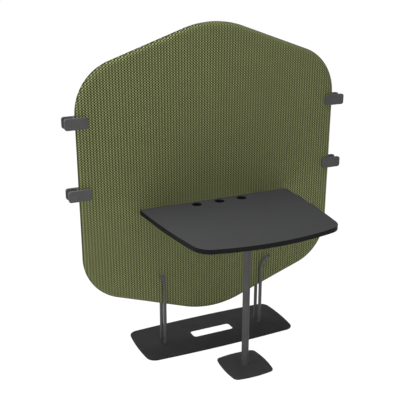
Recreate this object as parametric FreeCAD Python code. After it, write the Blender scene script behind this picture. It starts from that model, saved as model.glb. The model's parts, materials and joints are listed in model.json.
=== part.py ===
import FreeCAD, Part

import math
import os

from FreeCAD import Vector

# Desk for one person with a tall upholstered privacy screen behind its top.
# The screen stands between two pairs of bent tubes on a floor plate, the top is
# carried by a column on its own foot and by two brackets on the screen, and four
# linking clips sit on the screen's upright edges to join a neighbouring screen.
# Millimetres, +X to the user's right, +Y away from the user, +Z up.

# Fits
CLEARANCE = 0.3  # room between pieces that pass through or lie beside each other
CUT_OVERRUN = 4.0  # how far a cutting shape passes the face that it opens

# Screen, a hexagon with upright sides and softly rounded corners
SCREEN_WIDTH = 1325.0
SCREEN_SIDE_HEIGHT = 1012.0  # between the upper and lower side corners
SCREEN_PEAK_RISE = 232.0  # from the side corners to the peak
SCREEN_CENTRE_HEIGHT = 862.0
SCREEN_PEAK_RADIUS = 461.0
SCREEN_CORNER_RADIUS = 241.0
SCREEN_THICKNESS = 30.0
SCREEN_EDGE_RUN = 30.0  # width of the border where the padding falls away to the seam
SCREEN_EDGE_STEPS = 5
COVER_THICKNESS = 1.5
CORE_THICKNESS = 12.0
CORE_INSET = 18.0

# Floor plate under the screen, with a hand slot in its middle
BASE_LENGTH = 820.0
BASE_DEPTH = 332.0
BASE_BOW = 11.4  # bulge of each side beyond its corners
BASE_CORNER_RADIUS = 47.0
BASE_THICKNESS = 4.0
SLOT_LENGTH = 222.0
SLOT_DEPTH = 63.0
SLOT_CORNER_RADIUS = 15.0
PLATE_EDGE_RADIUS = 1.2

# Foot plate under the column
FOOT_SIZE = 222.0
FOOT_BOW = 10.3
FOOT_CORNER_RADIUS = 25.0
FOOT_THICKNESS = 4.0

# Glide pads under both plates
PAD_RADIUS = 15.0
PAD_HEIGHT = 4.0
PAD_INSET = 45.0  # from the plate's side to the middle of a pad

# Leg tubes, one in front of the screen and one behind it on each side
LEG_SPACING = 537.0
LEG_DIAMETER = 17.0
LEG_WALL = 2.0
LEG_GRIP = 90.0  # straight length that lies along the screen above its lower edge
LEG_BEND_RADIUS = 110.0
LEG_BEND_ANGLE = math.radians(40.0)
LEG_TIP_LENGTH = 23.0
LEG_SPLAY_ANGLE = math.radians(41.0)  # of the bent tips, from the screen's normal
LEG_INSERT_LENGTH = 24.0
LEG_SCREW_RADIUS = 3.0
LEG_SCREW_HEAD_RADIUS = 5.8
LEG_SCREW_HEAD_HEIGHT = 3.0
LEG_SCREW_LENGTH = 22.0
PLUG_STEM_LENGTH = 9.0
PLUG_CAP_HEIGHT = 2.6
PLUG_CAP_ROUNDING = 1.6

# Screws that clamp the screen between a front and a back tube
CLAMP_FIRST_RISE = 42.0  # above the screen's lower edge at the tubes
CLAMP_PITCH = 34.0
CLAMP_COUNT = 2
CLAMP_SCREW_RADIUS = 3.0
CLAMP_HEAD_RADIUS = 5.2
CLAMP_HEAD_HEIGHT = 2.8
CLAMP_HEAD_ROUNDING = 1.8
CLAMP_SLEEVE_RADIUS = 5.0

# Table top
TABLE_HEIGHT = 740.0
TABLE_THICKNESS = 20.0
TABLE_GAP = 21.0  # between the screen's face and the back edge
TABLE_DEPTH = 610.0
TABLE_BACK_WIDTH = 782.0
TABLE_FRONT_WIDTH = 675.0
TABLE_FRONT_BOW = 50.0  # of the front edge beyond the front corners
TABLE_SIDE_BOW = 11.0  # of each side beyond a straight line between its corners
TABLE_BACK_RADIUS = 8.0
TABLE_FRONT_RADIUS = 85.0
TABLE_BAND_THICKNESS = 2.0
TABLE_EDGE_RADIUS = 0.8

# Cable holes along the back of the table, each with a grommet flush with the top
GROMMET_PITCH = 118.5
GROMMET_INSET = 41.5  # from the back edge to the middle of a hole
GROMMET_BORE_RADIUS = 20.5
GROMMET_WALL = 1.5
GROMMET_RIM_RADIUS = 24.5
GROMMET_RIM_HEIGHT = 2.0
GROMMET_RIM_ROUNDING = 0.8

# Column from the foot plate to the table
COLUMN_DIAMETER = 33.7
COLUMN_WALL = 2.6
COLUMN_REACH = 366.0  # from the middle of the screen's thickness forwards
COLUMN_INSERT_LENGTH = 28.0
COLUMN_SCREW_RADIUS = 5.0
COLUMN_SCREW_HEAD_RADIUS = 8.0
COLUMN_SCREW_HEAD_HEIGHT = 3.0
COLUMN_SCREW_LENGTH = 26.0
FLANGE_SIZE = 160.0
FLANGE_CORNER_RADIUS = 20.0
FLANGE_THICKNESS = 5.0
FLANGE_SCREW_INSET = 18.0

# Brackets that tie the back of the table to the screen
BRACKET_SPACING = 500.0
BRACKET_WIDTH = 60.0
BRACKET_THICKNESS = 5.0
BRACKET_DROP = 90.0
BRACKET_UNDERLAP = 100.0  # length under the table
BRACKET_CORNER_RADIUS = 8.0
BRACKET_BOLT_INSET = 22.0  # from the bracket's lower end to the first bolt
BRACKET_BOLT_PITCH = 36.0
BRACKET_BOLT_COUNT = 2
BRACKET_SCREW_INSET = 20.0  # from the bracket's front end to the first wood screw
BRACKET_SCREW_PITCH = 50.0
BRACKET_SCREW_COUNT = 2
BOLT_RADIUS = 3.0
BOLT_HEAD_RADIUS = 5.2
BOLT_HEAD_HEIGHT = 3.2
BOLT_HEAD_ROUNDING = 1.8
NUT_BARREL_RADIUS = 4.2
NUT_FLANGE_RADIUS = 10.0
NUT_FLANGE_THICKNESS = 1.6

# Wood screws up into the table
WOOD_SCREW_RADIUS = 2.2
WOOD_SCREW_BITE = 14.0  # length inside the table
WOOD_SCREW_HEAD_RADIUS = 4.2
WOOD_SCREW_HEAD_HEIGHT = 2.6
WOOD_SCREW_HEAD_ROUNDING = 1.4

# Linking clips on the screen's upright edges
CLIP_GRIP = 52.0  # from the screen's edge inwards
CLIP_REACH = 53.0  # from the screen's edge outwards
CLIP_HEIGHT = 52.0
CLIP_PLATE_THICKNESS = 14.0
CLIP_WEB_THICKNESS = 6.0
CLIP_CORNER_RADIUS = 11.0
CLIP_EDGE_RADIUS = 2.0
CLIP_UPPER_HEIGHT = 1167.0
CLIP_LOWER_HEIGHT = 841.0
LINER_THICKNESS = 1.0
LINER_INSET = 5.0  # from the clip's edges
LINER_CORNER_RADIUS = 6.0

# Places and sizes that follow from the values above
UP = Vector(0, 0, 1)
BACKWARDS = Vector(0, 1, 0)
SIDES = (("left", -1), ("right", 1))
FACES = (("front", -1), ("back", 1))
LEVELS = (("upper", CLIP_UPPER_HEIGHT), ("lower", CLIP_LOWER_HEIGHT))
SCREEN_FACE = SCREEN_THICKNESS / 2
SCREEN_EDGE = SCREEN_WIDTH / 2
SCREEN_SLOPE = math.atan2(SCREEN_PEAK_RISE, SCREEN_EDGE)
FOAM_DEPTH = COVER_THICKNESS + CLEARANCE
CORE_FACE = CORE_THICKNESS / 2
BASE_TOP = PAD_HEIGHT + BASE_THICKNESS
FOOT_TOP = PAD_HEIGHT + FOOT_THICKNESS
LEG_RADIUS = LEG_DIAMETER / 2
LEG_BORE = LEG_RADIUS - LEG_WALL
LEG_X = LEG_SPACING / 2
LEG_Y = SCREEN_FACE + CLEARANCE + LEG_RADIUS
SCREEN_LOWER_PEAK = SCREEN_CENTRE_HEIGHT - SCREEN_SIDE_HEIGHT / 2 - SCREEN_PEAK_RISE
SCREEN_EDGE_AT_LEGS = SCREEN_LOWER_PEAK + LEG_X * math.tan(SCREEN_SLOPE)
LEG_BEND_HEIGHT = SCREEN_EDGE_AT_LEGS + LEG_GRIP
TABLE_UNDERSIDE = TABLE_HEIGHT - TABLE_THICKNESS
TABLE_BACK = -SCREEN_FACE - TABLE_GAP
TABLE_FRONT = TABLE_BACK - TABLE_DEPTH
GROMMET_RADIUS = GROMMET_BORE_RADIUS + GROMMET_WALL
GROMMET_Y = TABLE_BACK - GROMMET_INSET
COLUMN_RADIUS = COLUMN_DIAMETER / 2
COLUMN_BORE = COLUMN_RADIUS - COLUMN_WALL
FLANGE_UNDERSIDE = TABLE_UNDERSIDE - FLANGE_THICKNESS
BRACKET_UNDERSIDE = TABLE_UNDERSIDE - BRACKET_THICKNESS
BRACKET_LOWER_END = TABLE_UNDERSIDE - BRACKET_DROP
BRACKET_FRONT_END = TABLE_BACK - BRACKET_UNDERLAP
CLIP_FACE = SCREEN_FACE + CLEARANCE + LINER_THICKNESS
# The origin lies on the floor under the middle of the whole desk's depth
MIDDLE_Y = (TABLE_FRONT + BASE_DEPTH / 2) / 2


def save(node, shape):
    """Write one piece, or a group of like pieces, with the desk's middle at the origin."""
    placed = shape.translated(Vector(0, -MIDDLE_Y, 0))
    placed.exportStep(os.path.join("parts", node + ".step"))


def block(low, high):
    """Box between two opposite corners."""
    size = high - low
    return Part.makeBox(size.x, size.y, size.z, low)


def upright_edges(shape):
    """Edges of a shape that run along Z."""
    found = []
    for edge in shape.Edges:
        box = edge.BoundBox
        if max(box.XLength, box.YLength) < CLEARANCE < box.ZLength:
            found.append(edge)
    return found


def edges_at_height(shape, height):
    """Edges of a shape that lie wholly at one height."""
    found = []
    for edge in shape.Edges:
        box = edge.BoundBox
        if max(abs(box.ZMin - height), abs(box.ZMax - height)) < CLEARANCE / 2:
            found.append(edge)
    return found


def rounded_polygon(points, radii):
    """Closed wire along a convex polygon, with each corner rounded to its radius."""
    count = len(points)
    arcs = []
    for index, corner in enumerate(points):
        before = (points[index - 1] - corner).normalize()
        after = (points[(index + 1) % count] - corner).normalize()
        half_angle = before.getAngle(after) / 2
        tangent = radii[index] / math.tan(half_angle)
        depth = radii[index] / math.sin(half_angle) - radii[index]
        middle = corner + (before + after).normalize() * depth
        arcs.append((corner + before * tangent, middle, corner + after * tangent))
    edges = []
    for index, (start, middle, end) in enumerate(arcs):
        edges.append(Part.Arc(start, middle, end).toShape())
        edges.append(Part.makeLine(end, arcs[(index + 1) % count][0]))
    return Part.Wire(edges)


def rounded_slab(low, high, corner_radius):
    """Level slab between two opposite corners, with its four upright edges rounded."""
    slab = block(low, high)
    return slab.makeFillet(corner_radius, upright_edges(slab))


def bowed_plate(length, depth, bow, corner_radius, thickness, centre):
    """Floor plate with gently bulging sides, rounded corners and a softened upper edge."""
    half_length = length / 2
    half_depth = depth / 2
    places = []
    for x_side, y_side in ((-1, -1), (1, -1), (1, 1), (-1, 1)):
        places.append(centre + Vector(x_side * (half_length - bow), y_side * (half_depth - bow), 0))
    bulges = [
        centre + Vector(0, -half_depth, 0),
        centre + Vector(half_length, 0, 0),
        centre + Vector(0, half_depth, 0),
        centre + Vector(-half_length, 0, 0),
    ]
    edges = []
    for index, bulge in enumerate(bulges):
        edges.append(Part.Arc(places[index], bulge, places[(index + 1) % len(places)]).toShape())
    plate = Part.Face(Part.Wire(edges)).extrude(UP * thickness)
    plate = plate.makeFillet(corner_radius, upright_edges(plate))
    return plate.makeFillet(PLATE_EDGE_RADIUS, edges_at_height(plate, centre.z + thickness))


def round_headed_screw(radius, length, head_radius, head_height, rounding, seat, direction):
    """Screw with a rounded head: the shank runs from the seat along direction."""
    shank = Part.makeCylinder(radius, length, seat, direction)
    head = Part.makeCylinder(head_radius, head_height, seat, direction * -1)
    crown = seat - direction * head_height
    rim = [edge for edge in head.Edges if edge.CenterOfMass.distanceToPoint(crown) < CLEARANCE]
    return head.makeFillet(rounding, rim).fuse(shank).removeSplitter()


def countersunk_screw(radius, length, head_radius, head_height, base):
    """Upright screw whose cone head is flush with the face at base."""
    head = Part.makeCone(head_radius, radius, head_height, base, UP)
    shank = Part.makeCylinder(radius, length - head_height, base + UP * head_height, UP)
    return head.fuse(shank).removeSplitter()


def countersink(radius, head_radius, head_height, base, through):
    """Hole for a countersunk screw from the face at base, with clearance all round."""
    cone = Part.makeCone(head_radius + CLEARANCE, radius + CLEARANCE, head_height, base, UP)
    return cone.fuse(Part.makeCylinder(radius + CLEARANCE, through + CUT_OVERRUN, base, UP))


def threaded_insert(bore, length, screw_radius, base):
    """Plug in the lower end of a tube, bored for the screw that holds the tube down."""
    plug = Part.makeCylinder(bore - CLEARANCE, length, base, UP)
    hole_base = base - UP * CUT_OVERRUN
    hole = Part.makeCylinder(screw_radius + CLEARANCE, length + 2 * CUT_OVERRUN, hole_base, UP)
    return plug.cut(hole)


def pads_under(places):
    """Round glide pads on the floor."""
    return Part.Compound([Part.makeCylinder(PAD_RADIUS, PAD_HEIGHT, place, UP) for place in places])


def leg_places():
    """Name, side signs and floor point of the four leg tubes."""
    places = []
    for side_name, side in SIDES:
        for face_name, face in FACES:
            places.append((side_name + "_" + face_name, side, face, Vector(side * LEG_X, face * LEG_Y, 0)))
    return places


def clamp_points():
    """Points in the screen's middle plane where the clamp screws cross it."""
    points = []
    for _, side in SIDES:
        for index in range(CLAMP_COUNT):
            height = SCREEN_EDGE_AT_LEGS + CLAMP_FIRST_RISE + index * CLAMP_PITCH
            points.append(Vector(side * LEG_X, 0, height))
    return points


def bracket_bolt_points():
    """Points in the screen's middle plane where the bracket bolts enter the core."""
    points = []
    for _, side in SIDES:
        for index in range(BRACKET_BOLT_COUNT):
            height = BRACKET_LOWER_END + BRACKET_BOLT_INSET + index * BRACKET_BOLT_PITCH
            points.append(Vector(side * BRACKET_SPACING / 2, 0, height))
    return points


def bracket_screw_points():
    """Points on the table's underside where the brackets are screwed to it."""
    points = []
    for _, side in SIDES:
        for index in range(BRACKET_SCREW_COUNT):
            y = BRACKET_FRONT_END + BRACKET_SCREW_INSET + index * BRACKET_SCREW_PITCH
            points.append(Vector(side * BRACKET_SPACING / 2, y, TABLE_UNDERSIDE))
    return points


def flange_screw_points():
    """Points on the table's underside where the column flange is screwed to it."""
    reach = FLANGE_SIZE / 2 - FLANGE_SCREW_INSET
    points = []
    for x_side in (-1, 1):
        for y_side in (-1, 1):
            points.append(Vector(x_side * reach, -COLUMN_REACH + y_side * reach, TABLE_UNDERSIDE))
    return points


def grommet_places():
    """Name and middle, on the table's upper face, of the cable holes."""
    places = []
    for name, step in (("left", -1), ("middle", 0), ("right", 1)):
        places.append((name, Vector(step * GROMMET_PITCH, GROMMET_Y, TABLE_HEIGHT)))
    return places


def crosswise_hole(radius, point, start, end):
    """Cylinder along Y through a point, from one depth to another."""
    return Part.makeCylinder(radius, end - start, Vector(point.x, start, point.z), BACKWARDS)


def screen_outline(inset, y):
    """Outline of the screen, drawn in by inset, in the upright plane at y."""
    half_width = SCREEN_EDGE - inset
    peak = SCREEN_SIDE_HEIGHT / 2 + SCREEN_PEAK_RISE - inset / math.cos(SCREEN_SLOPE)
    corner = peak - half_width * math.tan(SCREEN_SLOPE)
    corners = [
        (0, peak),
        (half_width, corner),
        (half_width, -corner),
        (0, -peak),
        (-half_width, -corner),
        (-half_width, corner),
    ]
    points = [Vector(x, y, SCREEN_CENTRE_HEIGHT + z) for x, z in corners]
    peak_radius = SCREEN_PEAK_RADIUS - inset
    corner_radius = SCREEN_CORNER_RADIUS - inset
    return rounded_polygon(points, [peak_radius, corner_radius, corner_radius] * 2)


def padded_half(face, depth):
    """Half of the upholstered screen, from the seam to one face, depth below the cover's outside."""
    height = SCREEN_FACE - depth
    run = SCREEN_EDGE_RUN - depth
    sections = []
    for step in range(SCREEN_EDGE_STEPS + 1):
        angle = math.pi / 2 * step / SCREEN_EDGE_STEPS
        inset = depth + run * (1 - math.cos(angle))
        sections.append(screen_outline(inset, face * height * math.sin(angle)))
    return Part.makeLoft(sections, True, False)


def make_screen():
    """Core board, foam on both faces, knitted cover in two halves, and the sleeves in it."""
    reach = SCREEN_FACE + CUT_OVERRUN
    sleeve_holes = []
    for point in clamp_points():
        sleeve_holes.append(crosswise_hole(CLAMP_SLEEVE_RADIUS + CLEARANCE, point, -reach, reach))

    core = Part.Face(screen_outline(CORE_INSET, -CORE_FACE)).extrude(BACKWARDS * CORE_THICKNESS)
    barrel_holes = []
    for point in bracket_bolt_points():
        barrel_holes.append(crosswise_hole(NUT_BARREL_RADIUS + CLEARANCE, point, -reach, reach))
    save("screen_core", core.cut(sleeve_holes + barrel_holes))

    pocket_wire = screen_outline(CORE_INSET - CLEARANCE, -CORE_FACE)
    pocket = Part.Face(pocket_wire).extrude(BACKWARDS * CORE_THICKNESS)
    bolt_holes = []
    flange_recesses = []
    for point in bracket_bolt_points():
        bolt_holes.append(crosswise_hole(BOLT_RADIUS + CLEARANCE, point, -reach, 0))
        recess_end = CORE_FACE + NUT_FLANGE_THICKNESS + CLEARANCE
        flange_recesses.append(crosswise_hole(NUT_FLANGE_RADIUS + CLEARANCE, point, 0, recess_end))
    cuts = {"front": bolt_holes, "back": flange_recesses}
    cover_cuts = {"front": bolt_holes, "back": []}
    for face_name, face in FACES:
        foam = padded_half(face, FOAM_DEPTH).cut([pocket] + sleeve_holes + cuts[face_name])
        save("screen_foam_" + face_name, foam)
        lining = padded_half(face, COVER_THICKNESS)
        cover = padded_half(face, 0).cut([lining] + sleeve_holes + cover_cuts[face_name])
        save("screen_cover_" + face_name, cover)

    sleeves = []
    for point in clamp_points():
        sleeve = crosswise_hole(CLAMP_SLEEVE_RADIUS, point, -SCREEN_FACE, SCREEN_FACE)
        sleeves.append(sleeve.cut(crosswise_hole(CLAMP_SCREW_RADIUS + CLEARANCE, point, -reach, reach)))
    save("screen_sleeves", Part.Compound(sleeves))

    nuts = []
    for point in bracket_bolt_points():
        barrel = crosswise_hole(NUT_BARREL_RADIUS, point, -CORE_FACE, CORE_FACE)
        flange_end = CORE_FACE + NUT_FLANGE_THICKNESS
        flange = crosswise_hole(NUT_FLANGE_RADIUS, point, CORE_FACE, flange_end)
        nut = barrel.fuse(flange).removeSplitter()
        thread = crosswise_hole(BOLT_RADIUS + CLEARANCE, point, -reach, flange_end + CUT_OVERRUN)
        nuts.append(nut.cut(thread))
    save("screen_tee_nuts", Part.Compound(nuts))


def make_base():
    """Floor plate with its hand slot and screw holes, and the pads under it."""
    centre = Vector(0, 0, PAD_HEIGHT)
    plate = bowed_plate(BASE_LENGTH, BASE_DEPTH, BASE_BOW, BASE_CORNER_RADIUS, BASE_THICKNESS, centre)
    slot_low = Vector(-SLOT_LENGTH / 2, -SLOT_DEPTH / 2, PAD_HEIGHT - CUT_OVERRUN)
    slot_high = Vector(SLOT_LENGTH / 2, SLOT_DEPTH / 2, BASE_TOP + CUT_OVERRUN)
    cuts = [rounded_slab(slot_low, slot_high, SLOT_CORNER_RADIUS)]
    for _, _, _, place in leg_places():
        hole = countersink(
            LEG_SCREW_RADIUS,
            LEG_SCREW_HEAD_RADIUS,
            LEG_SCREW_HEAD_HEIGHT,
            place + UP * PAD_HEIGHT,
            BASE_THICKNESS,
        )
        cuts.append(hole)
    save("base_plate", plate.cut(cuts))

    x_reach = BASE_LENGTH / 2 - PAD_INSET
    y_reach = BASE_DEPTH / 2 - PAD_INSET
    places = []
    for x_step in (-1, 0, 1):
        for y_side in (-1, 1):
            places.append(Vector(x_step * x_reach, y_side * y_reach, 0))
    save("base_pads", pads_under(places))


def leg_path(place, side, face):
    """Centre line of a leg tube, with the point and direction of its tip."""
    outwards = Vector(side * math.sin(LEG_SPLAY_ANGLE), face * math.cos(LEG_SPLAY_ANGLE), 0)
    foot = place + UP * BASE_TOP
    bend_start = place + UP * LEG_BEND_HEIGHT

    def along_bend(angle):
        return bend_start + (outwards * (1 - math.cos(angle)) + UP * math.sin(angle)) * LEG_BEND_RADIUS

    bend_end = along_bend(LEG_BEND_ANGLE)
    direction = outwards * math.sin(LEG_BEND_ANGLE) + UP * math.cos(LEG_BEND_ANGLE)
    tip = bend_end + direction * LEG_TIP_LENGTH
    edges = [
        Part.makeLine(foot, bend_start),
        Part.Arc(bend_start, along_bend(LEG_BEND_ANGLE / 2), bend_end).toShape(),
        Part.makeLine(bend_end, tip),
    ]
    return Part.Wire(edges), tip, direction


def swept_rod(path, radius):
    """Round rod along a path that starts upright."""
    start = path.Edges[0].Vertexes[0].Point
    section = Part.Wire(Part.makeCircle(radius, start, UP))
    return path.makePipeShell([section], True, False)


def make_legs():
    """Four bent tubes, each with a plug in its tip, an insert in its foot and a screw from below."""
    inserts = []
    screws = []
    for name, side, face, place in leg_places():
        path, tip, direction = leg_path(place, side, face)
        tube = swept_rod(path, LEG_RADIUS).cut(swept_rod(path, LEG_BORE))
        holes = []
        for point in clamp_points():
            if point.x * side > 0:
                crossing_end = LEG_Y + LEG_RADIUS + CUT_OVERRUN
                holes.append(crosswise_hole(CLAMP_SCREW_RADIUS + CLEARANCE, point, -LEG_Y, crossing_end))
        save("leg_tube_" + name, tube.cut(holes))

        cap = Part.makeCylinder(LEG_RADIUS, PLUG_CAP_HEIGHT, tip, direction)
        crown = tip + direction * PLUG_CAP_HEIGHT
        rim = [edge for edge in cap.Edges if edge.CenterOfMass.distanceToPoint(crown) < CLEARANCE]
        stem = Part.makeCylinder(LEG_BORE - CLEARANCE, PLUG_STEM_LENGTH, tip, direction * -1)
        save("leg_plug_" + name, cap.makeFillet(PLUG_CAP_ROUNDING, rim).fuse(stem).removeSplitter())

        foot = place + UP * BASE_TOP
        inserts.append(threaded_insert(LEG_BORE, LEG_INSERT_LENGTH, LEG_SCREW_RADIUS, foot))
        screw = countersunk_screw(
            LEG_SCREW_RADIUS,
            LEG_SCREW_LENGTH,
            LEG_SCREW_HEAD_RADIUS,
            LEG_SCREW_HEAD_HEIGHT,
            place + UP * PAD_HEIGHT,
        )
        screws.append(screw)
    save("leg_inserts", Part.Compound(inserts))
    save("leg_screws", Part.Compound(screws))

    clamps = []
    for point in clamp_points():
        screw = round_headed_screw(
            CLAMP_SCREW_RADIUS,
            2 * LEG_Y + LEG_RADIUS - CLEARANCE,
            CLAMP_HEAD_RADIUS,
            CLAMP_HEAD_HEIGHT,
            CLAMP_HEAD_ROUNDING,
            point + BACKWARDS * (LEG_Y + LEG_RADIUS),
            BACKWARDS * -1,
        )
        clamps.append(screw)
    save("screen_clamp_screws", Part.Compound(clamps))


def mirrored(point):
    """The same place or direction on the desk's other side."""
    return Vector(-point.x, point.y, point.z)


def arc_about(centre, radius, first, last):
    """Arc round a centre, the short way between two directions."""
    middle = (first + last).normalize()
    return Part.Arc(centre + first * radius, centre + middle * radius, centre + last * radius).toShape()


def foremost_crossing(first, first_radius, second, second_radius):
    """Point nearest the user where two level circles cross."""
    apart = second - first
    along = (first_radius ** 2 - second_radius ** 2 + apart.Length ** 2) / (2 * apart.Length)
    across = math.sqrt(first_radius ** 2 - along ** 2)
    forwards = Vector(apart.y, -apart.x, 0).normalize()
    return first + apart.normalize() * along + forwards * across


def table_plan(inset):
    """Plan of the table top, or one evenly inside it: tapered, with bowed sides and front."""
    corner_y = TABLE_FRONT + TABLE_FRONT_BOW
    back_corner = Vector(TABLE_BACK_WIDTH / 2, TABLE_BACK, TABLE_UNDERSIDE)
    front_corner = Vector(TABLE_FRONT_WIDTH / 2, corner_y, TABLE_UNDERSIDE)
    side_middle = (back_corner + front_corner) / 2 + Vector(TABLE_SIDE_BOW, 0, 0)
    front_middle = Vector(0, TABLE_FRONT, TABLE_UNDERSIDE)
    side = Part.Circle(back_corner, side_middle, front_corner)
    front = Part.Circle(front_corner, front_middle, mirrored(front_corner))

    back_y = TABLE_BACK - TABLE_BACK_RADIUS
    back_run = math.sqrt((side.Radius - TABLE_BACK_RADIUS) ** 2 - (back_y - side.Center.y) ** 2)
    back_centre = Vector(side.Center.x + back_run, back_y, TABLE_UNDERSIDE)
    front_centre = foremost_crossing(
        side.Center,
        side.Radius - TABLE_FRONT_RADIUS,
        front.Center,
        front.Radius - TABLE_FRONT_RADIUS,
    )
    side_start = (back_centre - side.Center).normalize()
    side_end = (front_centre - side.Center).normalize()
    front_start = (front_centre - front.Center).normalize()
    right_arcs = [
        (back_centre, TABLE_BACK_RADIUS, BACKWARDS, side_start),
        (side.Center, side.Radius, side_start, side_end),
        (front_centre, TABLE_FRONT_RADIUS, side_end, front_start),
    ]
    edges = [arc_about(centre, radius - inset, first, last) for centre, radius, first, last in right_arcs]
    edges.append(arc_about(front.Center, front.Radius - inset, front_start, mirrored(front_start)))
    for centre, radius, first, last in reversed(right_arcs):
        edges.append(arc_about(mirrored(centre), radius - inset, mirrored(last), mirrored(first)))
    back_end = back_centre + BACKWARDS * (TABLE_BACK_RADIUS - inset)
    edges.append(Part.makeLine(mirrored(back_end), back_end))
    return Part.Face(Part.Wire(edges))


def make_table():
    """Table board with its cable and screw holes, its edge band and the grommets."""
    slab = table_plan(0).extrude(UP * TABLE_THICKNESS)
    board = table_plan(TABLE_BAND_THICKNESS).extrude(UP * TABLE_THICKNESS)
    rounded = slab.makeFillet(TABLE_EDGE_RADIUS, edges_at_height(slab, TABLE_HEIGHT))
    save("table_edge_band", rounded.cut(board))

    holes = []
    grommet_length = TABLE_THICKNESS + 2 * CUT_OVERRUN
    recess_depth = GROMMET_RIM_HEIGHT + CUT_OVERRUN
    for _, place in grommet_places():
        start = place - UP * (TABLE_THICKNESS + CUT_OVERRUN)
        holes.append(Part.makeCylinder(GROMMET_RADIUS + CLEARANCE, grommet_length, start, UP))
        recess_start = place - UP * GROMMET_RIM_HEIGHT
        holes.append(Part.makeCylinder(GROMMET_RIM_RADIUS + CLEARANCE, recess_depth, recess_start, UP))
    for point in bracket_screw_points() + flange_screw_points():
        start = point - UP * CUT_OVERRUN
        bite = WOOD_SCREW_BITE + CLEARANCE + CUT_OVERRUN
        holes.append(Part.makeCylinder(WOOD_SCREW_RADIUS + CLEARANCE, bite, start, UP))
    save("table_top", board.cut(holes))

    for name, place in grommet_places():
        start = place - UP * TABLE_THICKNESS
        rim_start = place - UP * GROMMET_RIM_HEIGHT
        rim = Part.makeCylinder(GROMMET_RIM_RADIUS, GROMMET_RIM_HEIGHT, rim_start, UP)
        rim_edge = [edge for edge in rim.Edges if edge.CenterOfMass.distanceToPoint(place) < CLEARANCE]
        rim = rim.makeFillet(GROMMET_RIM_ROUNDING, rim_edge)
        body = Part.makeCylinder(GROMMET_RADIUS, TABLE_THICKNESS, start, UP)
        bore = Part.makeCylinder(GROMMET_BORE_RADIUS, grommet_length, start - UP * CUT_OVERRUN, UP)
        save("cable_grommet_" + name, rim.fuse(body).removeSplitter().cut(bore))


def make_brackets():
    """Angle brackets between the screen and the table, with their bolts and wood screws."""
    half_width = BRACKET_WIDTH / 2
    for side_name, side in SIDES:
        middle_x = side * BRACKET_SPACING / 2
        upright = block(
            Vector(middle_x - half_width, -SCREEN_FACE - BRACKET_THICKNESS, BRACKET_LOWER_END),
            Vector(middle_x + half_width, -SCREEN_FACE, TABLE_UNDERSIDE),
        )
        level = block(
            Vector(middle_x - half_width, BRACKET_FRONT_END, BRACKET_UNDERSIDE),
            Vector(middle_x + half_width, -SCREEN_FACE, TABLE_UNDERSIDE),
        )
        front_end = BRACKET_FRONT_END + CLEARANCE
        corners = [edge for edge in upright_edges(level) if edge.CenterOfMass.y < front_end]
        level = level.makeFillet(BRACKET_CORNER_RADIUS, corners)
        angle = upright.fuse(level).removeSplitter()
        holes = []
        for point in bracket_bolt_points():
            start = -SCREEN_FACE - BRACKET_THICKNESS - CUT_OVERRUN
            holes.append(crosswise_hole(BOLT_RADIUS + CLEARANCE, point, start, 0))
        for point in bracket_screw_points():
            start = point - UP * (BRACKET_THICKNESS + CUT_OVERRUN)
            length = BRACKET_THICKNESS + 2 * CUT_OVERRUN
            holes.append(Part.makeCylinder(WOOD_SCREW_RADIUS + CLEARANCE, length, start, UP))
        save("table_bracket_" + side_name, angle.cut(holes))

    bolts = []
    for point in bracket_bolt_points():
        bolt = round_headed_screw(
            BOLT_RADIUS,
            BRACKET_THICKNESS + SCREEN_FACE + CORE_FACE,
            BOLT_HEAD_RADIUS,
            BOLT_HEAD_HEIGHT,
            BOLT_HEAD_ROUNDING,
            point - BACKWARDS * (SCREEN_FACE + BRACKET_THICKNESS),
            BACKWARDS,
        )
        bolts.append(bolt)
    save("bracket_bolts", Part.Compound(bolts))
    save("bracket_wood_screws", wood_screws(bracket_screw_points(), BRACKET_THICKNESS))


def wood_screws(points, plate_thickness):
    """Wood screws from below, through a plate and into the table."""
    screws = []
    for point in points:
        screw = round_headed_screw(
            WOOD_SCREW_RADIUS,
            plate_thickness + WOOD_SCREW_BITE,
            WOOD_SCREW_HEAD_RADIUS,
            WOOD_SCREW_HEAD_HEIGHT,
            WOOD_SCREW_HEAD_ROUNDING,
            point - UP * plate_thickness,
            UP,
        )
        screws.append(screw)
    return Part.Compound(screws)


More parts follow.
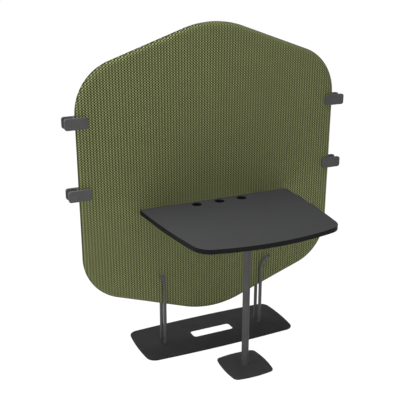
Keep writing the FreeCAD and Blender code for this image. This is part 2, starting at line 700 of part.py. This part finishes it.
def make_column():
    """Column tube with its insert and screw, the flange at its head and the foot plate at its base."""
    place = Vector(0, -COLUMN_REACH, 0)
    plate = bowed_plate(
        FOOT_SIZE, FOOT_SIZE, FOOT_BOW, FOOT_CORNER_RADIUS, FOOT_THICKNESS, place + UP * PAD_HEIGHT
    )
    hole = countersink(
        COLUMN_SCREW_RADIUS,
        COLUMN_SCREW_HEAD_RADIUS,
        COLUMN_SCREW_HEAD_HEIGHT,
        place + UP * PAD_HEIGHT,
        FOOT_THICKNESS,
    )
    save("foot_plate", plate.cut(hole))

    reach = FOOT_SIZE / 2 - PAD_INSET
    places = []
    for x_side in (-1, 1):
        for y_side in (-1, 1):
            places.append(place + Vector(x_side * reach, y_side * reach, 0))
    save("foot_pads", pads_under(places))

    tube_base = place + UP * FOOT_TOP
    tube_length = FLANGE_UNDERSIDE - FOOT_TOP
    tube = Part.makeCylinder(COLUMN_RADIUS, tube_length, tube_base, UP)
    save("column_tube", tube.cut(Part.makeCylinder(COLUMN_BORE, tube_length, tube_base, UP)))
    insert = threaded_insert(COLUMN_BORE, COLUMN_INSERT_LENGTH, COLUMN_SCREW_RADIUS, tube_base)
    save("column_insert", insert)
    screw = countersunk_screw(
        COLUMN_SCREW_RADIUS,
        COLUMN_SCREW_LENGTH,
        COLUMN_SCREW_HEAD_RADIUS,
        COLUMN_SCREW_HEAD_HEIGHT,
        place + UP * PAD_HEIGHT,
    )
    save("column_screw", screw)

    half_size = FLANGE_SIZE / 2
    flange_low = place + Vector(-half_size, -half_size, FLANGE_UNDERSIDE)
    flange_high = place + Vector(half_size, half_size, TABLE_UNDERSIDE)
    flange = rounded_slab(flange_low, flange_high, FLANGE_CORNER_RADIUS)
    holes = []
    for point in flange_screw_points():
        start = point - UP * (FLANGE_THICKNESS + CUT_OVERRUN)
        length = FLANGE_THICKNESS + 2 * CUT_OVERRUN
        holes.append(Part.makeCylinder(WOOD_SCREW_RADIUS + CLEARANCE, length, start, UP))
    save("column_flange", flange.cut(holes))
    save("flange_wood_screws", wood_screws(flange_screw_points(), FLANGE_THICKNESS))


def rounded_upright_plate(low, high, corner_radius, edge_radius):
    """Upright plate between two opposite corners, with rounded corners and softened edges."""
    places = [(low.x, low.z), (high.x, low.z), (high.x, high.z), (low.x, high.z)]
    points = [Vector(x, low.y, z) for x, z in places]
    outline = rounded_polygon(points, [corner_radius] * len(points))
    plate = Part.Face(outline).extrude(BACKWARDS * (high.y - low.y))
    if edge_radius == 0:
        return plate
    rims = [edge for edge in plate.Edges if edge.BoundBox.YLength < CLEARANCE]
    return plate.makeFillet(edge_radius, rims)


def make_clips():
    """Linking clips: two plates joined by a web at the screen's edge, lined where they grip it."""
    for side_name, side in SIDES:
        inner = side * (SCREEN_EDGE - CLIP_GRIP)
        outer = side * (SCREEN_EDGE + CLIP_REACH)
        web_inner = side * (SCREEN_EDGE + CLEARANCE)
        web_outer = web_inner + side * CLIP_WEB_THICKNESS
        for level_name, height in LEVELS:
            low_z = height - CLIP_HEIGHT / 2
            high_z = height + CLIP_HEIGHT / 2
            pieces = []
            liners = []
            for _, face in FACES:
                plate_y = sorted((face * CLIP_FACE, face * (CLIP_FACE + CLIP_PLATE_THICKNESS)))
                plate_low = Vector(min(inner, outer), plate_y[0], low_z)
                plate_high = Vector(max(inner, outer), plate_y[1], high_z)
                plate = rounded_upright_plate(plate_low, plate_high, CLIP_CORNER_RADIUS, CLIP_EDGE_RADIUS)
                pieces.append(plate)
                liner_y = sorted((face * (SCREEN_FACE + CLEARANCE), face * CLIP_FACE))
                liner_ends = sorted((inner + side * LINER_INSET, web_inner - side * LINER_INSET))
                liner_low = Vector(liner_ends[0], liner_y[0], low_z + LINER_INSET)
                liner_high = Vector(liner_ends[1], liner_y[1], high_z - LINER_INSET)
                liners.append(rounded_upright_plate(liner_low, liner_high, LINER_CORNER_RADIUS, 0))
            web = block(
                Vector(min(web_inner, web_outer), -CLIP_FACE - CLIP_EDGE_RADIUS, low_z + CLIP_EDGE_RADIUS),
                Vector(max(web_inner, web_outer), CLIP_FACE + CLIP_EDGE_RADIUS, high_z - CLIP_EDGE_RADIUS),
            )
            name = side_name + "_" + level_name
            save("clip_body_" + name, pieces[0].fuse([pieces[1], web]).removeSplitter())
            save("clip_liners_" + name, Part.Compound(liners))


os.makedirs("parts", exist_ok=True)
make_base()
make_legs()
make_screen()
make_table()
make_brackets()
make_column()
make_clips()
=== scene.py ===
import json
import math

import bmesh
import bpy
import numpy as np
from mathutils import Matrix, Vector


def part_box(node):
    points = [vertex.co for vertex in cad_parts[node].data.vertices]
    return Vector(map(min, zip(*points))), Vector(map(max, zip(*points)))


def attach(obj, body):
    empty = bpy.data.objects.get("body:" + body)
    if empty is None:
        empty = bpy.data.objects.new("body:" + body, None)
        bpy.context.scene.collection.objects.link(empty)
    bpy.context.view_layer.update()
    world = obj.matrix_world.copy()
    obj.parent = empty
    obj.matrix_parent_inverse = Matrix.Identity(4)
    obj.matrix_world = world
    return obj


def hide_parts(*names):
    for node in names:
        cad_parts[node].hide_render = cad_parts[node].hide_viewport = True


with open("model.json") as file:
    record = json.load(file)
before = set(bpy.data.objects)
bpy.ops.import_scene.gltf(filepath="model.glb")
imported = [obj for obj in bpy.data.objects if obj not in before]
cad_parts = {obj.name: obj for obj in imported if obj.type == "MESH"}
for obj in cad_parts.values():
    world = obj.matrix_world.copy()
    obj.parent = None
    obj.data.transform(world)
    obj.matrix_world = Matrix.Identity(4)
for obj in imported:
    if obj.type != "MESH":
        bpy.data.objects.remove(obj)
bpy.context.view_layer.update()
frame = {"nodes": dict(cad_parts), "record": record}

# Desk with an upholstered privacy screen: finishes for the solid pieces, and the screen's
# knitted cover as a modelled mesh. Metres, +X right, +Y away from the user, +Z up.

# Screen outline, as in the solids
SCREEN_PEAK_RISE = 0.232
SCREEN_PEAK_RADIUS = 0.461
SCREEN_CORNER_RADIUS = 0.241
SCREEN_EDGE_RUN = 0.030

# Knit: upright ribs, which are in the mesh too, of staggered stitches
RIB_PITCH = 0.0142
RIB_DEPTH = 0.0016
RIB_ROUNDNESS = 0.7
STITCH_COLUMNS_PER_RIB = 2.0
STITCH_PITCH = 0.0117
SEAM_SHADE_RUN = 0.010

# Share of each part of the knit in its height and tone; the tone also sets the knit's colour
RIB_SHARE = 0.33
STITCH_SHARE = 0.78
CHANCE_SHARE = 0.08
YARN_SHARE = 0.22
CLOUD_SHARE = 0.05
# The seam's share darkens the knit along the seam, partly as its dark thread, partly as painted shade in
# the seam's groove
SEAM_THREAD_AND_SHADE_SHARE = 0.62
# Knit colours, dark to light: the dark end paints shade into the hollows between ribs and stitches, the
# light end paints light on their crests
KNIT_SHADED_COLOURS = [
    (0.0, (0.013, 0.016, 0.003)),
    (0.5, (0.094, 0.106, 0.037)),
    (1.0, (0.322, 0.346, 0.160)),
]

# Grid of the cover's mesh
MESH_COLUMNS_PER_RIB = 6
EDGE_ROWS = 14
MIDDLE_ROWS = 60
WELD_DISTANCE = 1e-6

# Padded edge: blown up by cloth simulation between the seam, the flat faces and the clips
PUFF_EDGE_ROWS = 8
PUFF_COLUMNS = 150
PUFF_PRESSURE = 4.0
PUFF_FRAMES = 16
PUFF_LIMIT = 0.003
CLIP_PRESS_RUN = 0.030
SHORTEST_MOVE = 1e-9

# Shares of the way in from the edge, below or above which a point counts as on the seam or the face
AT_SEAM = 1e-4
ON_FACE = 0.999

# How far wear takes the roughness up and down, and the share of broad clouds in the laminate's grain
COATING_WEAR = 0.08
PLASTIC_WEAR = 0.06
LAMINATE_CLOUD_SHARE = 0.35

# Powder coats: colour, roughness, specular level
COATINGS = {
    "plate_paint": ((0.0232, 0.0232, 0.0235), 0.65, 0.04),
    "leg_paint": ((0.08, 0.08, 0.082), 0.5, 0.3),
    "bracket_paint": ((0.055, 0.055, 0.056), 0.5, 0.3),
    "column_paint": ((0.082, 0.082, 0.083), 0.6, 0.12),
    "clip_coating": ((0.089, 0.089, 0.0895), 0.65, 0.08),
}
# Foot plate: a lighter copy of the plates' paint, painted light that lifts it out of the shade under the
# table
FOOT_COATING_PAINTED_LIGHT = ((0.0485, 0.0485, 0.0488), 0.65, 0.04)

# Plastics and rubbers: colour, roughness, specular level, grains in a metre
PLASTICS = {
    "glide_pad": ((0.03, 0.03, 0.03), 0.8, 0.35, 900.0),
    "plug_plastic": ((0.05, 0.05, 0.052), 0.55, 0.35, 1500.0),
    "table_edge": ((0.009, 0.009, 0.0102), 0.65, 0.08, 1500.0),
    "grommet_plastic": ((0.0065, 0.0065, 0.007), 0.7, 0.03, 1500.0),
    "clip_liner": ((0.02, 0.02, 0.02), 0.8, 0.35, 900.0),
}
LAMINATE_COLOUR = (0.0555, 0.056, 0.057)

# Camera: place in front of and to the left of the desk, and focal length in the photo's pixels
CAMERA_PLACE = Vector((-1.4588, -2.7905, 1.8693))
CAMERA_PITCH = math.radians(18.856)
CAMERA_YAW = math.radians(24.675)
CAMERA_REACH = 500.0
FOCAL_PIXELS = 727.797
PHOTO_WIDTH = 400
SENSOR_WIDTH_MM = 36.0

# Soft light of the studio, from the horizon and from straight above
SKY_SIDE = 0.20
SKY_TOP = 0.385

# Lamps: name, place, aim, side of the square, watts, whether it casts shadows
LAMPS = [
    ("key", (-2.2, -1.15, 4.6), (0, 0.1, 0.9), 2.1, 125.0, False),
    ("fill", (0.3, -3.6, 1.1), (0, 0.1, 0.7), 2.4, 26.0, True),
    ("back", (-1.9, 2.5, 1.9), (0, 0.25, 0.8), 2.0, 36.0, True),
    ("top", (-1.3, 0.7, 4.0), (-0.6, 0.3, 0.7), 2.6, 74.0, True),
]

# Floor: half its side, its colour, and the white glow that shows where it is seen
FLOOR_REACH = 60.0
FLOOR_COLOUR = (0.88, 0.88, 0.88, 1.0)
FLOOR_ROUGHNESS = 0.9
FLOOR_GLOW = 1.045
FLOOR_GLOW_SHARE = 0.95
WHITE = (1.0, 1.0, 1.0, 1.0)


def new_material(name):
    """Empty node material with a Principled shader; returns it with its tree and shader."""
    material = bpy.data.materials.new(name)
    material.use_nodes = True
    tree = material.node_tree
    shader = tree.nodes["Principled BSDF"]
    return material, tree, shader


def math_node(tree, operation, first, second=None):
    """Math node whose inputs are sockets or numbers; returns its output."""
    node = tree.nodes.new("ShaderNodeMath")
    node.operation = operation
    for index, value in enumerate((first, second)):
        if isinstance(value, (int, float)):
            node.inputs[index].default_value = value
        elif value is not None:
            tree.links.new(value, node.inputs[index])
    return node.outputs[0]


def weighted_sum(tree, start, terms):
    """A number plus (socket, middle value, weight) terms."""
    total = start
    for socket, middle, weight in terms:
        part = math_node(tree, "MULTIPLY", math_node(tree, "SUBTRACT", socket, middle), weight)
        total = math_node(tree, "ADD", part, total)
    return total


def object_coordinates(tree):
    """Place on the piece, in metres."""
    return tree.nodes.new("ShaderNodeTexCoord").outputs["Object"]


def noise(tree, scale, detail=3.0, roughness=0.55):
    """Noise over the piece; scale counts the features in a metre."""
    node = tree.nodes.new("ShaderNodeTexNoise")
    node.inputs["Scale"].default_value = scale
    node.inputs["Detail"].default_value = detail
    node.inputs["Roughness"].default_value = roughness
    tree.links.new(object_coordinates(tree), node.inputs["Vector"])
    return node.outputs["Fac"]


def ramp(tree, factor, stops):
    """Colour ramp through (place, colour) stops."""
    node = tree.nodes.new("ShaderNodeValToRGB")
    elements = node.color_ramp.elements
    while len(elements) < len(stops):
        elements.new(1.0)
    for element, (place, colour) in zip(elements, stops):
        element.position = place
        element.color = (*colour, 1.0)
    tree.links.new(factor, node.inputs["Fac"])
    return node.outputs["Color"]


def map_range(tree, value, low, high):
    """Value from 0 to 1 spread over low to high."""
    node = tree.nodes.new("ShaderNodeMapRange")
    node.inputs["To Min"].default_value = low
    node.inputs["To Max"].default_value = high
    tree.links.new(value, node.inputs["Value"])
    return node.outputs["Result"]


def bump(tree, shader, height, strength, distance):
    """Fine relief on the shader's normal."""
    node = tree.nodes.new("ShaderNodeBump")
    node.inputs["Strength"].default_value = strength
    node.inputs["Distance"].default_value = distance
    tree.links.new(height, node.inputs["Height"])
    tree.links.new(node.outputs["Normal"], shader.inputs["Normal"])


def colour_by(tree, shader, factor, stops):
    """Base colour from a ramp."""
    tree.links.new(ramp(tree, factor, stops), shader.inputs["Base Color"])


def roughness_by(tree, shader, factor, low, high):
    """Roughness that varies between two values."""
    tree.links.new(map_range(tree, factor, low, high), shader.inputs["Roughness"])


def shades(colour, places, darkest, lightest):
    """Ramp stops from a darker shade of a colour, through the colour, to a lighter shade."""
    stops = []
    for place, factor in zip(places, (darkest, 1.0, lightest)):
        stops.append((place, tuple(channel * factor for channel in colour)))
    return stops


def stitch_cells(tree, x, z):
    """Knit of staggered stitches: the ribs' height, the stitches' height, and a chance value per stitch."""
    wale = math_node(tree, "MULTIPLY", x, 1 / RIB_PITCH)
    course = math_node(tree, "MULTIPLY", z, 1 / STITCH_PITCH)
    rib = math_node(tree, "COSINE", math_node(tree, "MULTIPLY", wale, 2 * math.pi))
    loop = math_node(tree, "COSINE", math_node(tree, "MULTIPLY", course, 2 * math.pi))
    stitch = math_node(tree, "MULTIPLY", rib, loop)
    # Columns are counted to the nearest whole one, and each is half a course off its neighbours
    columns = math_node(tree, "MULTIPLY", wale, STITCH_COLUMNS_PER_RIB)
    column = math_node(tree, "FLOOR", math_node(tree, "ADD", columns, 0.5))
    stagger = math_node(tree, "ADD", math_node(tree, "MULTIPLY", column, 0.5), 0.5)
    row = math_node(tree, "FLOOR", math_node(tree, "ADD", course, stagger))
    cell = tree.nodes.new("ShaderNodeCombineXYZ")
    tree.links.new(column, cell.inputs["X"])
    tree.links.new(row, cell.inputs["Y"])
    chance = tree.nodes.new("ShaderNodeTexWhiteNoise")
    tree.links.new(cell.outputs["Vector"], chance.inputs["Vector"])
    return rib, stitch, chance.outputs["Value"]


def knit_fabric(seam_y):
    """Olive knit: upright ribs of staggered stitches, flecked yarn, soft sheen, painted shade in the
    hollows, painted light on the crests, and a seam darkened by thread and painted shade.
    """
    material, tree, shader = new_material("knit_fabric")
    place = tree.nodes.new("ShaderNodeSeparateXYZ")
    tree.links.new(object_coordinates(tree), place.inputs["Vector"])
    rib, stitch, chance = stitch_cells(tree, place.outputs["X"], place.outputs["Z"])
    relief = weighted_sum(tree, 0.5, [(rib, 0.0, RIB_SHARE), (stitch, 0.0, STITCH_SHARE)])
    yarn = noise(tree, scale=420.0, detail=3.0, roughness=0.7)
    cloud = noise(tree, scale=9.0, detail=4.0)
    # Darker towards the seam: partly the seam's thread, partly painted shade in its groove
    from_seam = math_node(tree, "ABSOLUTE", math_node(tree, "SUBTRACT", place.outputs["Y"], seam_y))
    seam = map_range(tree, math_node(tree, "MULTIPLY", from_seam, 1 / SEAM_SHADE_RUN), 0.0, 1.0)
    # Colour follows the relief, which paints shade in the hollows and light on the crests; chance, yarn and
    # cloud vary the yarn's own tone
    shaded_tone = weighted_sum(tree, 0.0, [
        (relief, 0.0, 1.0),
        (chance, 0.5, CHANCE_SHARE),
        (yarn, 0.5, YARN_SHARE),
        (cloud, 0.5, CLOUD_SHARE),
        (seam, 1.0, SEAM_THREAD_AND_SHADE_SHARE),
    ])
    colour_by(tree, shader, shaded_tone, KNIT_SHADED_COLOURS)
    shader.inputs["Roughness"].default_value = 0.92
    shader.inputs["Specular IOR Level"].default_value = 0.12
    shader.inputs["Sheen Weight"].default_value = 0.12
    shader.inputs["Sheen Roughness"].default_value = 0.5
    bump(tree, shader, shaded_tone, strength=0.6, distance=0.0010)
    return material


def coated_metal(name, colour, roughness, specular):
    """Powder coat: fine orange-peel grain, faint mottling and rubbed patches."""
    material, tree, shader = new_material(name)
    mottle = noise(tree, scale=14.0, detail=5.0)
    colour_by(tree, shader, mottle, shades(colour, (0.3, 0.55, 0.8), darkest=0.86, lightest=1.2))
    rubbed = noise(tree, scale=45.0, detail=4.0)
    roughness_by(tree, shader, rubbed, low=roughness - COATING_WEAR, high=roughness + COATING_WEAR)
    shader.inputs["Specular IOR Level"].default_value = specular
    bump(tree, shader, noise(tree, scale=1400.0, detail=2.0), strength=0.16, distance=0.0003)
    return material


def laminate(name, colour):
    """Satin table laminate with a very fine mottled grain."""
    material, tree, shader = new_material(name)
    cloud = math_node(tree, "MULTIPLY", noise(tree, scale=5.0), LAMINATE_CLOUD_SHARE)
    grain = math_node(tree, "ADD", noise(tree, scale=260.0, detail=4.0), cloud)
    colour_by(tree, shader, grain, shades(colour, (0.35, 0.68, 1.0), darkest=0.9, lightest=1.12))
    roughness_by(tree, shader, noise(tree, scale=30.0, detail=4.0), low=0.5, high=0.6)
    shader.inputs["Specular IOR Level"].default_value = 0.0
    bump(tree, shader, noise(tree, scale=2200.0, detail=2.0), strength=0.08, distance=0.0002)
    return material


def moulded_plastic(name, colour, roughness, specular, grain_scale):
    """Moulded plastic or rubber with a spark-eroded grain."""
    material, tree, shader = new_material(name)
    mottle = noise(tree, scale=60.0, detail=3.0)
    colour_by(tree, shader, mottle, shades(colour, (0.3, 0.6, 0.85), darkest=0.8, lightest=1.35))
    roughness_by(tree, shader, mottle, low=roughness - PLASTIC_WEAR, high=roughness + PLASTIC_WEAR)
    shader.inputs["Specular IOR Level"].default_value = specular
    bump(tree, shader, noise(tree, grain_scale, detail=2.0), strength=0.2, distance=0.0003)
    return material


def plated_steel():
    """Zinc-plated fasteners with drawn marks."""
    material, tree, shader = new_material("plated_steel")
    stops = [(0.3, (0.36, 0.36, 0.37)), (0.7, (0.62, 0.62, 0.60))]
    colour_by(tree, shader, noise(tree, scale=300.0, detail=4.0), stops)
    shader.inputs["Metallic"].default_value = 1.0
    roughness_by(tree, shader, noise(tree, scale=500.0), low=0.28, high=0.45)
    bump(tree, shader, noise(tree, scale=1800.0), strength=0.1, distance=0.0002)
    return material


def raw_board():
    """Core board of pressed wood fibre."""
    material, tree, shader = new_material("raw_board")
    stops = [(0.3, (0.34, 0.24, 0.14)), (0.7, (0.58, 0.45, 0.30))]
    colour_by(tree, shader, noise(tree, scale=420.0, detail=6.0, roughness=0.7), stops)
    roughness_by(tree, shader, noise(tree, scale=80.0), low=0.75, high=0.95)
    bump(tree, shader, noise(tree, scale=700.0, detail=5.0), strength=0.4, distance=0.0006)
    return material


def dress(material, *nodes):
    """Give CAD nodes a finish."""
    for node in nodes:
        mesh = frame["nodes"][node].data
        mesh.materials.clear()
        mesh.materials.append(material)


def dress_solids():
    """Finishes of all the pieces that keep their solid's shape."""
    by_slot = {}
    for part in frame["record"]["subparts"]:
        by_slot.setdefault(part["material_slot"], []).append(part["node"])
    dress(raw_board(), *by_slot["core_board"])
    dress(plated_steel(), *by_slot["steel_hardware"])
    dress(laminate("table_laminate", LAMINATE_COLOUR), *by_slot["table_laminate"])
    for slot, finish in COATINGS.items():
        dress(coated_metal(slot, *finish), *by_slot[slot])
    for slot, finish in PLASTICS.items():
        dress(moulded_plastic(slot, *finish), *by_slot[slot])
    # Lighter paint on the foot plate: painted light against the shade under the table
    dress(coated_metal("foot_paint_painted_light", *FOOT_COATING_PAINTED_LIGHT), "foot_plate")


class ScreenShape:
    """Outline of the screen about its middle: upright sides, sloping top and bottom, rounded corners."""

    def __init__(self):
        front_low, front_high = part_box("screen_cover_front")
        back_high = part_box("screen_cover_back")[1]
        self.half_width = (front_high.x - front_low.x) / 2
        self.half_height = (front_high.z - front_low.z) / 2
        self.half_thickness = (back_high.y - front_low.y) / 2
        self.centre = (front_low + back_high) / 2
        self.slope = math.atan2(SCREEN_PEAK_RISE, self.half_width)
        peak_drop = SCREEN_PEAK_RADIUS * (1 / math.cos(self.slope) - 1)
        self.peak = self.half_height + peak_drop
        self.peak_arc_z = self.half_height - SCREEN_PEAK_RADIUS
        self.corner_arc_x = self.half_width - SCREEN_CORNER_RADIUS
        slope_rise = self.corner_arc_x * math.tan(self.slope)
        self.corner_arc_z = self.peak - SCREEN_CORNER_RADIUS / math.cos(self.slope) - slope_rise

    def top(self, x):
        """Height of the outline above the middle, at each x."""
        x = np.abs(x)
        line = self.peak - x * math.tan(self.slope)
        peak_arc = self.peak_arc_z + np.sqrt(np.maximum(SCREEN_PEAK_RADIUS ** 2 - x ** 2, 0))
        run = np.clip(x - self.corner_arc_x, 0, SCREEN_CORNER_RADIUS)
        corner_arc = self.corner_arc_z + np.sqrt(SCREEN_CORNER_RADIUS ** 2 - run ** 2)
        on_peak = x < SCREEN_PEAK_RADIUS * math.sin(self.slope)
        on_corner = x > self.corner_arc_x + SCREEN_CORNER_RADIUS * math.sin(self.slope)
        return np.where(on_peak, peak_arc, np.where(on_corner, corner_arc, line))

    def edge_distance(self, x, z):
        """Distance inwards from the outline."""
        x, z = np.abs(x), np.abs(z)
        side = self.half_width - x
        slope = (self.peak - z - x * math.tan(self.slope)) * math.cos(self.slope)
        distance = np.minimum(side, slope)
        peak_rise = z - self.peak_arc_z
        in_peak = (peak_rise > 0) & (np.arctan2(x, peak_rise) < self.slope)
        distance = np.where(in_peak, SCREEN_PEAK_RADIUS - np.hypot(x, peak_rise), distance)
        run, rise = x - self.corner_arc_x, z - self.corner_arc_z
        in_corner = (run > 0) & (rise > 0) & (np.arctan2(run, rise) > self.slope)
        distance = np.where(in_corner, SCREEN_CORNER_RADIUS - np.hypot(run, rise), distance)
        return np.maximum(distance, 0)


def places(edge_count, middle_count):
    """Places from edge to edge: 0 to 1 over one edge, 1 to 2 between, 2 to 3 over the other edge."""
    edge = np.arange(edge_count) / edge_count
    return np.concatenate([edge, np.linspace(1, 2, middle_count), (3 - edge)[::-1]])


def measure(place, half, run):
    """Distance from the middle at each place; the places are closest together at the edges."""
    first_edge = run * place ** 2 - half
    between = (half - run) * (2 * place - 3)
    last_edge = half - run * (3 - place) ** 2
    return np.where(place < 1, first_edge, np.where(place > 2, last_edge, between))


def cover_grid(shape, columns, rows):
    """Points of the cover's front half about the screen's middle, and how far in from the edge each is."""
    x = measure(columns, shape.half_width, SCREEN_EDGE_RUN)
    top = shape.top(x)[:, None]
    z = measure(rows[None, :], top, SCREEN_EDGE_RUN / math.cos(shape.slope))
    x = np.repeat(x[:, None], len(rows), axis=1)
    inwards = np.minimum(shape.edge_distance(x, z) / SCREEN_EDGE_RUN, 1)
    y = -shape.half_thickness * np.sqrt(1 - (1 - inwards) ** 2)
    return np.stack([x, y, z], axis=-1), inwards


def grid_faces(columns, rows):
    """Four-sided faces of a grid of points, facing the front."""
    index = np.arange(columns * rows).reshape(columns, rows)
    corners = [index[:-1, :-1], index[1:, :-1], index[1:, 1:], index[:-1, 1:]]
    return np.stack(corners, axis=-1).reshape(-1, 4)


def under_clip(height):
    """True at the heights where a clip presses on the screen's edge, or close by."""
    pressed = np.zeros(height.shape, dtype=bool)
    for clip in ("clip_body_left_upper", "clip_body_left_lower"):
        low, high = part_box(clip)
        pressed |= (height > low.z - CLIP_PRESS_RUN) & (height < high.z + CLIP_PRESS_RUN)
    return pressed


def puff(points, faces, held):
    """Cloth simulation of the cover under gentle pressure from inside; returns how far each point moves."""
    scene = bpy.context.scene
    mesh = bpy.data.meshes.new("cover_trial")
    mesh.from_pydata(points.tolist(), [], faces.tolist())
    trial = bpy.data.objects.new("cover_trial", mesh)
    scene.collection.objects.link(trial)
    trial.vertex_groups.new(name="held").add(np.flatnonzero(held).tolist(), 1.0, "REPLACE")
    cloth = trial.modifiers.new("cloth", "CLOTH")
    cloth.settings.vertex_group_mass = "held"
    cloth.settings.use_pressure = True
    cloth.settings.uniform_pressure_force = PUFF_PRESSURE
    cloth.settings.effector_weights.gravity = 0
    cloth.collision_settings.use_collision = False
    cloth.point_cache.frame_end = PUFF_FRAMES
    for step in range(1, PUFF_FRAMES + 1):
        scene.frame_set(step)
    blown = trial.evaluated_get(bpy.context.evaluated_depsgraph_get()).data
    moved = np.array([vertex.co for vertex in blown.vertices]) - points
    bpy.data.objects.remove(trial)
    bpy.data.meshes.remove(mesh)
    scene.frame_set(1)
    length = np.linalg.norm(moved, axis=1, keepdims=True)
    return moved * np.minimum(1, PUFF_LIMIT / np.maximum(length, SHORTEST_MOVE))


def spread_weights(fine, coarse):
    """Weights that carry values from coarse places to fine ones, along straight lines between them."""
    return np.array([np.interp(fine, coarse, single) for single in np.eye(len(coarse))]).T


def padded_edge(shape, columns, rows):
    """Swelling of the padded edge at each column and row, from a simulation on a coarser grid."""
    coarse_columns = places(PUFF_EDGE_ROWS, PUFF_COLUMNS)
    coarse_rows = places(PUFF_EDGE_ROWS, MIDDLE_ROWS)
    points, inwards = cover_grid(shape, coarse_columns, coarse_rows)
    held = (inwards < AT_SEAM) | (inwards > ON_FACE) | under_clip(points[..., 2] + shape.centre.z)
    faces = grid_faces(len(coarse_columns), len(coarse_rows))
    moved = puff(points.reshape(-1, 3), faces, held.ravel()).reshape(points.shape)
    across = spread_weights(columns, coarse_columns)
    upwards = spread_weights(rows, coarse_rows)
    return np.einsum("ac,crk,br->abk", across, moved, upwards)


def cover_mesh(shape):
    """Closed mesh of the cover: both ribbed faces, joined at the seam round the edge."""
    rib_columns = int(2 * (shape.half_width - SCREEN_EDGE_RUN) / RIB_PITCH * MESH_COLUMNS_PER_RIB)
    columns = places(EDGE_ROWS, rib_columns)
    rows = places(EDGE_ROWS, MIDDLE_ROWS)
    front, inwards = cover_grid(shape, columns, rows)
    front += padded_edge(shape, columns, rows)
    rib = (0.5 + 0.5 * np.cos(2 * math.pi * front[..., 0] / RIB_PITCH)) ** RIB_ROUNDNESS
    front[..., 1] += RIB_DEPTH * (1 - rib) * inwards
    front = front.reshape(-1, 3)
    back = front * np.array([1, -1, 1])
    faces = grid_faces(len(columns), len(rows))
    vertices = np.concatenate([front, back]) + np.array(shape.centre)
    quads = np.concatenate([faces, faces[:, ::-1] + len(front)])
    mesh = bpy.data.meshes.new("screen_cover")
    mesh.from_pydata(vertices.tolist(), [], quads.tolist())
    weld(mesh)
    mesh.polygons.foreach_set("use_smooth", [True] * len(mesh.polygons))
    return mesh


def weld(mesh):
    """Join the two halves of a mesh where their points meet."""
    work = bmesh.new()
    work.from_mesh(mesh)
    bmesh.ops.remove_doubles(work, verts=work.verts, dist=WELD_DISTANCE)
    work.to_mesh(mesh)
    work.free()


def make_cover():
    """The knitted cover, in place of the solids of both cover halves and both foam pads."""
    shape = ScreenShape()
    mesh = cover_mesh(shape)
    cover = bpy.data.objects.new("screen_cover", mesh)
    bpy.context.scene.collection.objects.link(cover)
    mesh.materials.append(knit_fabric(shape.centre.y))
    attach(cover, "desk")
    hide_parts("screen_cover_front", "screen_cover_back", "screen_foam_front", "screen_foam_back")


def make_camera():
    """Camera at the photograph's place and angle."""
    data = bpy.data.cameras.new("camera")
    data.sensor_width = SENSOR_WIDTH_MM
    data.lens = SENSOR_WIDTH_MM * FOCAL_PIXELS / PHOTO_WIDTH
    data.clip_end = CAMERA_REACH
    camera = bpy.data.objects.new("camera", data)
    camera.location = CAMERA_PLACE
    camera.rotation_euler = (math.pi / 2 - CAMERA_PITCH, 0, -CAMERA_YAW)
    bpy.context.scene.collection.objects.link(camera)
    bpy.context.scene.camera = camera


def area_light(name, place, target, size, power, shadows):
    """Large soft lamp aimed at a point; one without shadows acts as light from all over a ceiling."""
    data = bpy.data.lights.new(name, "AREA")
    data.shape = "SQUARE"
    data.size = size
    data.energy = power
    data.use_shadow = shadows
    lamp = bpy.data.objects.new(name, data)
    lamp.location = place
    lamp.rotation_euler = (Vector(target) - Vector(place)).to_track_quat("-Z", "Y").to_euler()
    bpy.context.scene.collection.objects.link(lamp)


def seen_directly(tree):
    """1 for rays from the camera, mirrors and glass, and 0 for the light that bounces about."""
    path = tree.nodes.new("ShaderNodeLightPath")
    seen = math_node(tree, "MAXIMUM", path.outputs["Is Camera Ray"], path.outputs["Is Glossy Ray"])
    return math_node(tree, "MAXIMUM", seen, path.outputs["Is Transmission Ray"])


def make_world():
    """White studio: plain white where it is seen; elsewhere a soft light, brightest from above."""
    world = bpy.data.worlds.new("studio")
    world.use_nodes = True
    tree = world.node_tree
    background = tree.nodes["Background"]
    background.inputs["Color"].default_value = WHITE
    direction = tree.nodes.new("ShaderNodeSeparateXYZ")
    tree.links.new(tree.nodes.new("ShaderNodeTexCoord").outputs["Generated"], direction.inputs["Vector"])
    sky = map_range(tree, direction.outputs["Z"], SKY_SIDE, SKY_TOP)
    strength = math_node(tree, "MAXIMUM", sky, seen_directly(tree))
    tree.links.new(strength, background.inputs["Strength"])
    bpy.context.scene.world = world


def make_floor():
    """Pale floor, almost plain white where it is seen."""
    mesh = bpy.data.meshes.new("floor")
    corners = [(x * FLOOR_REACH, y * FLOOR_REACH, 0) for x, y in ((-1, -1), (1, -1), (1, 1), (-1, 1))]
    mesh.from_pydata(corners, [], [(0, 1, 2, 3)])
    floor = bpy.data.objects.new("floor", mesh)
    bpy.context.scene.collection.objects.link(floor)
    material, tree, shader = new_material("floor")
    shader.inputs["Base Color"].default_value = FLOOR_COLOUR
    shader.inputs["Roughness"].default_value = FLOOR_ROUGHNESS
    glow = tree.nodes.new("ShaderNodeEmission")
    glow.inputs["Strength"].default_value = FLOOR_GLOW
    mix = tree.nodes.new("ShaderNodeMixShader")
    tree.links.new(math_node(tree, "MULTIPLY", seen_directly(tree), FLOOR_GLOW_SHARE), mix.inputs["Fac"])
    tree.links.new(shader.outputs["BSDF"], mix.inputs[1])
    tree.links.new(glow.outputs["Emission"], mix.inputs[2])
    tree.links.new(mix.outputs["Shader"], tree.nodes["Material Output"].inputs["Surface"])
    mesh.materials.append(material)


dress_solids()
make_cover()
make_camera()
make_world()
make_floor()
for lamp in LAMPS:
    area_light(*lamp)
bpy.context.scene.view_settings.view_transform = "Standard"
